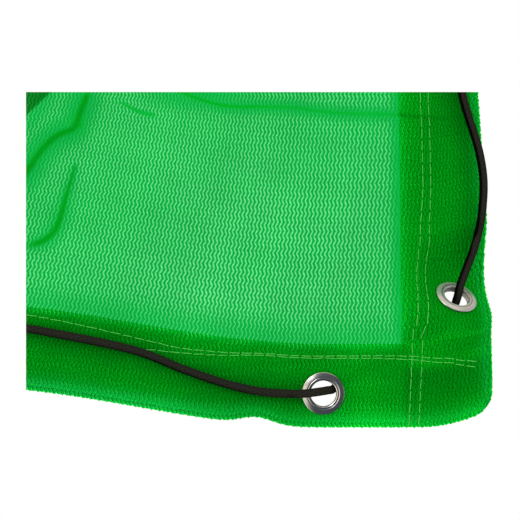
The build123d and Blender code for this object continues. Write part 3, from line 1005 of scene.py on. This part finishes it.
def knit(name, thread, gap, openness, backing):
    """Knitted tape mesh: zigzag lines of gaps between chains of flat green tape that
    lets some light through. Backing is how much of the light comes through as a glow
    of the folded hem instead of as a clear view."""
    tint = (0.012, 1.0, 0.235, 1)
    gap_tint = (0.29, 1.0, 0.46, 1)
    n = material_nodes(name)
    uv = n.add("ShaderNodeUVMap", uv_map="cloth").outputs[0]
    x, y, _ = n.split(uv)
    u = n.times(x, 1000.0)
    v = n.times(y, 1000.0)
    wander = n.noise(90.0, 2.0, uv)
    drift = n.line(wander, 1.6, -0.8)
    zigzag = n.math("PINGPONG", n.plus(v, drift), KNIT_PERIOD / 2)
    swing = n.line(zigzag, 4 * KNIT_SWING / KNIT_PERIOD, -KNIT_SWING)
    across = n.plus(n.plus(u, swing), n.times(drift, 0.5))
    phase = n.math("FRACT", n.plus(n.math("DIVIDE", across, KNIT_PITCH), 1000.0))
    off = n.times(n.size(n.minus(phase, 0.5)), KNIT_PITCH)
    # the gaps are bridged where the tape crosses over at each turn of the zigzag
    turn = n.size(n.minus(n.math("DIVIDE", zigzag, KNIT_PERIOD / 2), 0.5))
    uneven = n.noise(420.0, 2.0, uv)
    half = n.minus(n.line(uneven, 0.5, openness - 0.21), n.times(turn, 0.42))
    doubled = n.attribute("doubled")
    folded = n.attribute("thick")
    # the painted light and shade of the cloth, worked out in shade()
    light = n.attribute("shade")
    in_hem = n.attribute("hemmed")
    sheer = n.attribute("thin")
    facing = n.add("ShaderNodeLayerWeight", {"Blend": 0.5}).outputs["Facing"]
    grazing = n.ramp(facing, 0.22, 0.75)
    closed = n.math("MAXIMUM", n.times(grazing, 0.9), doubled)
    broad = n.noise(22.0, 2.0, uv)
    half = n.times(half, n.minus(1.0, closed))
    half = n.times(half, n.line(broad, 0.7, 0.65))
    open_gap = n.ramp(n.minus(off, half), -0.46, 0.40, 1.0, 0.0)
    open_gap = n.times(open_gap, n.minus(1.0, closed))
    fibre_noise = n.noise(1500.0, 3.0, uv)
    fleck = n.times(n.ramp(fibre_noise, 0.58, 0.70), 0.55)
    colour = n.mix(open_gap, thread, gap)
    dark = tuple(c * 0.35 for c in thread[:3]) + (1.0,)
    colour = n.mix(fleck, colour, dark)
    # painted light: where a hem's fold stands open, its colour is painted lighter and bluer
    colour = n.mix(n.times(sheer, 0.85), colour, (0.007, 0.43, 0.075, 1))
    grain = n.minus(n.noise(1150.0, 2.0, uv), 0.5)
    grain = n.times(grain, n.line(in_hem, 1.3, 0.5))
    light = n.times(light, n.plus(grain, 1.0))
    # in a hem each chain of tape casts a painted shadow on the ply behind, along one side
    beside = n.size(n.minus(n.minus(phase, 0.5), 0.22))
    shadow = n.times(n.ramp(beside, 0.02, 0.17, 0.55, 0.0), in_hem)
    light = n.times(light, n.minus(1.0, shadow))
    light = n.times(light, n.line(closed, 0.16, 1.0))
    pressed = n.times(folded, n.line(in_hem, -0.75, 0.46))
    light = n.times(light, n.plus(pressed, 1.0))
    colour = n.dimmed(colour, light)
    height = n.plus(n.times(open_gap, -1.0), n.times(fibre_noise, 0.8))
    bump = n.bump(0.35, 0.0005, height)
    fibre = n.surface(colour, 0.7, bump, Specular_IOR_Level=0.0)
    glow = n.dimmed(n.mix(open_gap, tint, gap_tint), light)
    through = n.add("ShaderNodeBsdfTransparent", {"Color": glow})
    opacity = n.minus(0.80, n.times(open_gap, 0.48))
    opacity = n.plus(opacity, n.times(fleck, 0.15))
    opacity = n.plus(opacity, n.times(folded, n.minus(0.99, opacity)))
    shut = n.line(sheer, -0.45 * backing, backing)
    opacity = n.plus(opacity, n.times(n.minus(0.99, opacity), shut))
    frayed = n.attribute("ravel")
    opacity = n.times(opacity, n.line(frayed, -0.55, 1.0))
    cover = n.math("MINIMUM", opacity, 0.99)
    if backing > 0:
        lit = n.add("ShaderNodeBsdfTranslucent", {"Color": colour, "Normal": bump})
        fibre = n.blend(0.5, fibre, lit)
    return n.output(n.blend(cover, through, fibre))


def thread_material():
    n = material_nodes("sewing thread")
    noise = n.noise(3000.0)
    colour = n.mix(noise, (0.05, 0.56, 0.06, 1), (0.18, 0.86, 0.16, 1))
    bump = n.bump(0.4, 0.0002, noise)
    return n.output(n.surface(colour, 0.55, bump, Specular_IOR_Level=0.15))


def nickel_material(name, metallic, polish, tone, axis, centre=None):
    """Nickel plate, the duller the less metallic it is. It is darker on the walls that
    run along an eyelet's axis and in the groove round its centre, where less light gets in."""
    n = material_nodes(name)
    at = n.geometry("Position")
    cloudy = n.noise(260.0, 3.0, at)
    fine = n.noise(2600.0, 2.0, at)
    dark = [c * tone for c in (0.60, 0.585, 0.55)] + [1]
    bright = [c * tone for c in (0.80, 0.785, 0.74)] + [1]
    colour = n.mix(cloudy, dark, bright)
    turned_front = n.vector("DOT_PRODUCT", n.geometry("Normal"), axis)
    open_to_light = n.ramp(n.size(turned_front), 0.25, 0.80, 0.30, 1.0)
    if centre is not None:
        out = n.times(n.vector("DISTANCE", at, centre), 1000.0)
        from_groove = n.size(n.minus(out, GROOVE_RADIUS))
        open_to_light = n.times(open_to_light, n.ramp(from_groove, 0.15, 0.55, 0.30, 1.0))
    colour = n.dimmed(colour, open_to_light)
    rough = n.line(fine, 0.16, polish)
    height = n.plus(n.times(cloudy, 0.6), n.times(fine, 0.15))
    bump = n.bump(0.10, 0.0004, height)
    return n.output(n.surface(colour, rough, bump, Metallic=metallic))


def cord_material():
    """Fine black braid round an elastic core."""
    n = material_nodes("black braid")
    x, y, _ = n.split(n.add("ShaderNodeUVMap", uv_map="cloth").outputs[0])
    around = n.times(x, 8.0)
    along = n.math("DIVIDE", y, 0.0052)
    one = n.math("PINGPONG", n.plus(around, along), 0.5)
    two = n.math("PINGPONG", n.plus(n.minus(around, along), 4000.0), 0.5)
    strands = n.math("MAXIMUM", one, two)
    fuzz = n.noise(2400.0, 3.0, n.geometry("Position"))
    height = n.plus(strands, n.times(fuzz, 0.4))
    bump = n.bump(0.7, 0.0005, height)
    # painted light on the crests of the braid's strands, painted shade between them
    crest_lit = n.mix(n.times(height, 0.8), (0.007, 0.0068, 0.0055, 1), (0.042, 0.040, 0.031, 1))
    # painted shade: the side of the cord turned to the left and down is painted near black
    unlit = n.vector("DOT_PRODUCT", n.geometry("Normal"), (-0.97, 0, -0.24))
    colour = n.mix(n.ramp(unlit, 0.10, 0.62), crest_lit, (0.0018, 0.0020, 0.0018, 1))
    return n.output(n.surface(colour, 0.6, bump, Specular_IOR_Level=0.0))


mesh_knit = knit("mesh knit", (0.0008, 0.265, 0.006, 1), (0.001, 0.42, 0.012, 1), 0.51, 0.0)
hem_knit = knit("hem knit", (0.0008, 0.42, 0.010, 1), (0.002, 0.60, 0.030, 1), 0.42, 0.9)
thread = thread_material()
nickel = nickel_material("nickel plate", 1.0, 0.12, 1.0, (0, 1, 0))
dull_nickel = nickel_material("dull nickel plate", 0.62, 0.16, 0.96,
                              tuple(LEAN_TURN @ Vector((0, 1, 0))), tuple(LEAN_CENTRE * MM))
braid = cord_material()


# ---------------------------------------------------------------- the object

def cross_fold(piece):
    """Bakes in the transform of a piece that lies between the two halves, across the storage fold."""
    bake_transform(piece)


panel = make_panel()
dress(panel, mesh_knit)
cross_fold(panel)
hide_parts("panel_right", "panel_left")

for side_name, sign in (("right", 1), ("left", -1)):
    hem = make_side_hem(f"hem_{side_name}", sign)
    dress(hem, hem_knit)
    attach(hem, f"{side_name}_half")
    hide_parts(f"side_hem_{side_name}")

for edge_name in ("bottom", "top"):
    hem = make_long_hem(f"hem_{edge_name}", edge_name == "top")
    dress(hem, hem_knit)
    cross_fold(hem)
    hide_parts(f"{edge_name}_hem_right", f"{edge_name}_hem_left")


def behind_ply(past_hem):
    """Depth of the back of a hem, which is four plies deep past the other hem's raw edge."""
    return FACE + PLY * (1 + 2 * smooth(-2, 5, past_hem)) + THREAD_REST


side_rows = {
    "right": [side_seam(OUTER_SIDE_ROW, 37), side_seam(INNER_SIDE_ROW, 42)],
    "left": [(np.full(UPWARD.shape, inset - HALF_WIDTH), UPWARD) for inset in (37, 42)],
}
for side_name, rows in side_rows.items():
    sewn = stitches(f"stitches_{side_name}", rows,
                    lambda u, v: behind_ply(LONG_HEM - from_edges(u, v)[1]))
    dress(sewn, thread)
    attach(sewn, f"{side_name}_half")
    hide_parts(f"stitching_side_{side_name}")

long_rows = {
    "bottom": [bottom_seam(UPPER_BOTTOM_ROW, 43.5), bottom_seam(LOWER_BOTTOM_ROW, 40)],
    "top": [(ACROSS, np.full(ACROSS.shape, HEIGHT - inset)) for inset in (40, 43.5)],
}
for edge_name, rows in long_rows.items():
    sewn = stitches(f"stitches_{edge_name}", rows,
                    lambda u, v: behind_ply(SIDE_HEM - from_edges(u, v)[0]))
    dress(sewn, thread)
    cross_fold(sewn)
    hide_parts(f"stitching_{edge_name}_right", f"stitching_{edge_name}_left")

for kind, profile in (("grommet", GROMMET_PROFILE), ("washer", WASHER_PROFILE)):
    ring = leaning_ring(f"{kind}_leaning", profile)
    dress(ring, dull_nickel)
    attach(ring, "right_half")
    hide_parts(f"{kind}_low_right")

for node_name, cad_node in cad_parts.items():
    if node_name.startswith(("grommet", "washer", "ferrule")):
        cad_node.data.materials.clear()
        cad_node.data.materials.append(nickel)

# each front span's two cord pieces, one from each eyelet, are baked in place and the span's CAD parts hidden
cord = cord_pieces(braid)
for span_name, (first, second) in SPANS.items():
    for label, a, b in (("a", first, second), ("b", second, first)):
        piece = cord[f"cord_{span_name}_{label}"]
        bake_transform(piece)
        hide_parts(f"span_cover_{span_name}", f"span_core_{span_name}")
for label, piece in cord.items():
    if "under" in label:
        xs = [vertex.co.x for vertex in piece.data.vertices]
        if min(xs) < 0 < max(xs):
            cross_fold(piece)
        else:
            side_name = "right" if min(xs) > 0 else "left"
            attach(piece, f"{side_name}_half")
            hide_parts(f"cord_cover_{side_name}", f"cord_core_{side_name}")


# ---------------------------------------------------------------- studio

def floor_material():
    """Pale and even, fading into the white beyond its edge."""
    n = material_nodes("pale floor")
    x, y, _ = n.split(n.geometry("Position"))
    reach = n.vector("LENGTH", n.add("ShaderNodeCombineXYZ", {0: x, 1: y}))
    body = n.add("ShaderNodeBsdfDiffuse", {"Color": (0.86, 0.86, 0.85, 1)})
    clear = n.add("ShaderNodeBsdfTransparent")
    mirrored = n.add("ShaderNodeLightPath").outputs["Is Glossy Ray"]
    fade = n.math("MAXIMUM", n.ramp(reach, 0.85, 1.5), mirrored)
    return n.output(n.blend(fade, body, clear))


FLOOR_Z = -0.3
bpy.ops.mesh.primitive_circle_add(vertices=96, radius=1.55, fill_type="NGON", location=(0, 0, FLOOR_Z))
floor = bpy.context.object
floor.name = "floor"
floor.data.materials.append(floor_material())

world = bpy.data.worlds.new("studio")
bpy.context.scene.world = world
sky = Nodes(world)
dx, dy, dz = sky.split(sky.add("ShaderNodeTexCoord").outputs["Generated"])
# what polished metal sees: a dark room ahead, bright panels at the left and overhead
room = sky.mix(sky.ramp(dy, -0.2, 0.6), (0.055, 0.07, 0.09, 1), (0.45, 0.45, 0.44, 1))
room = sky.mix(sky.ramp(dx, -0.30, -0.62), room, (1.35, 1.25, 1.08, 1))
room = sky.mix(sky.ramp(dz, 0.55, 0.85), room, (0.80, 0.72, 0.60, 1))
room = sky.mix(sky.ramp(dx, 0.86, 0.97), room, (0.70, 0.72, 0.72, 1))
path = sky.add("ShaderNodeLightPath")
soft = sky.mix(path.outputs["Is Diffuse Ray"], (1.0, 1.0, 1.0, 1), (0.80, 0.80, 0.80, 1))
seen = sky.mix(path.outputs["Is Glossy Ray"], soft, room)
background = sky.add("ShaderNodeBackground", {"Color": seen, "Strength": 1.0})
sky.output(background, "ShaderNodeOutputWorld")

CENTRE_X = (HALF_WIDTH - 136) * MM
CENTRE_Z = 98 * MM
light = bpy.data.lights.new("key", "AREA")
light.size = 1.4
light.energy = 26
light.specular_factor = 0.4
lamp = bpy.data.objects.new("key", light)
bpy.context.scene.collection.objects.link(lamp)
lamp.location = (CENTRE_X - 1.5, -2.4, 1.9)
aim = Vector((CENTRE_X, 0, 0.2)) - lamp.location
lamp.rotation_euler = aim.to_track_quat("-Z", "Y").to_euler()

VIEW_DISTANCE = 1.2
VIEW_WIDTH = 0.304             # of the cloth, from one side of the picture to the other
camera = bpy.data.cameras.new("camera")
camera.sensor_width = 36
camera.lens = 36 * VIEW_DISTANCE / VIEW_WIDTH
camera.clip_start = 0.01
viewer = bpy.data.objects.new("camera", camera)
bpy.context.scene.collection.objects.link(viewer)
viewer.location = (CENTRE_X, -VIEW_DISTANCE, CENTRE_Z)
viewer.rotation_euler = (math.pi / 2, 0, 0)
bpy.context.scene.camera = viewer


def mat_material():
    """Glowing white to a viewer close behind it, nothing to anyone else."""
    n = material_nodes("mat")
    rays = n.add("ShaderNodeLightPath")
    near = n.math("LESS_THAN", rays.outputs["Ray Length"], 0.2)
    seen_near = n.times(near, rays.outputs["Is Camera Ray"])
    white = n.add("ShaderNodeEmission", {"Color": (1, 1, 1, 1), "Strength": 1.0})
    clear = n.add("ShaderNodeBsdfTransparent")
    return n.output(n.blend(seen_near, clear, white))


# the picture's white margins: a mat close in front of the camera
MAT_DISTANCE = 0.1
MAT_HALF = VIEW_WIDTH / 2 * MAT_DISTANCE / VIEW_DISTANCE
MAT_LEFT = 0.050
MAT_TOP = 0.177
# the mats give off white light of their own
white_glow = mat_material()
for mat_name, x0, x1, z0, z1 in (("mat_left", -1.2, -1 + 2 * MAT_LEFT, -1.2, 1.2),
                                 ("mat_top", -1.2, 1.2, 1 - 2 * MAT_TOP, 1.2)):
    mesh = bpy.data.meshes.new(mat_name)
    corners = [(CENTRE_X + a * MAT_HALF, MAT_DISTANCE - VIEW_DISTANCE, CENTRE_Z + b * MAT_HALF)
               for a, b in ((x0, z0), (x1, z0), (x1, z1), (x0, z1))]
    mesh.from_pydata(corners, [], [(0, 1, 2, 3)])
    mesh.materials.append(white_glow)
    card = bpy.data.objects.new(mat_name, mesh)
    bpy.context.scene.collection.objects.link(card)

bpy.context.scene.view_settings.view_transform = "Standard"
bpy.context.scene.view_settings.look = "None"
